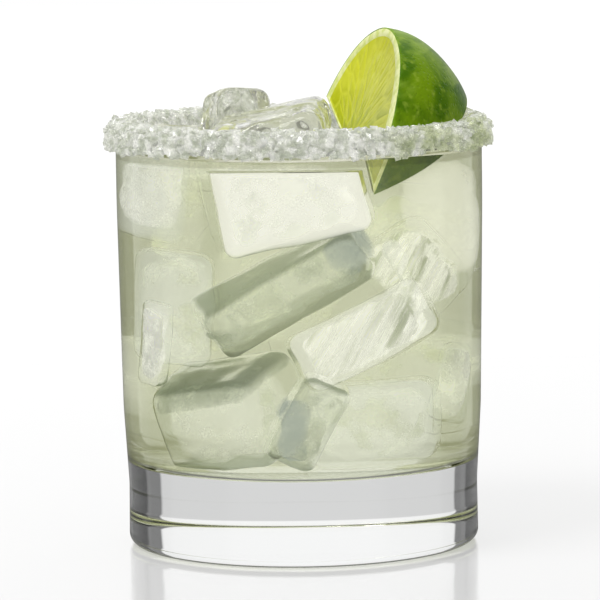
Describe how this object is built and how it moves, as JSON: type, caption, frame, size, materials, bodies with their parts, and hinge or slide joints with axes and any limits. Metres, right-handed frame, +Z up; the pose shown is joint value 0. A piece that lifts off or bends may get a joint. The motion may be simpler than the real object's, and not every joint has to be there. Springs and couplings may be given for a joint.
{
  "type": "margarita cocktail",
  "caption": "Pale lime cocktail over ice in a heavy-based straight tumbler with a coarse salt crust on the lip and a lime wedge standing out of the drink.",
  "frame": {"origin": "centre of the tumbler's flat foot, on the surface it stands on", "axes": "+Z up along the tumbler's axis; -Y is the front, from which the lime wedge shows its cut face; +X is to the right of that view"},
  "size_m": [0.0973, 0.0976, 0.1264],
  "materials": {
    "glass_clear": "clear polished soda-lime glass, thick solid base",
    "drink_lime": "cloudy pale yellow-green liquid",
    "salt_white": "coarse wet salt, translucent grains",
    "lime_green": "waxy green peel with juicy yellow-green flesh on the cut faces",
    "ice_frosted": "half melted clear ice with cloudy parts"
  },
  "bodies": {
    "root": {"glass": "glass_clear", "drink": "drink_lime", "salt_rim": "salt_white", "lime_wedge": "lime_green", "ice_front": "ice_frosted", "ice_back": "ice_frosted", "ice_left": "ice_frosted"}
  },
  "joints": []
}
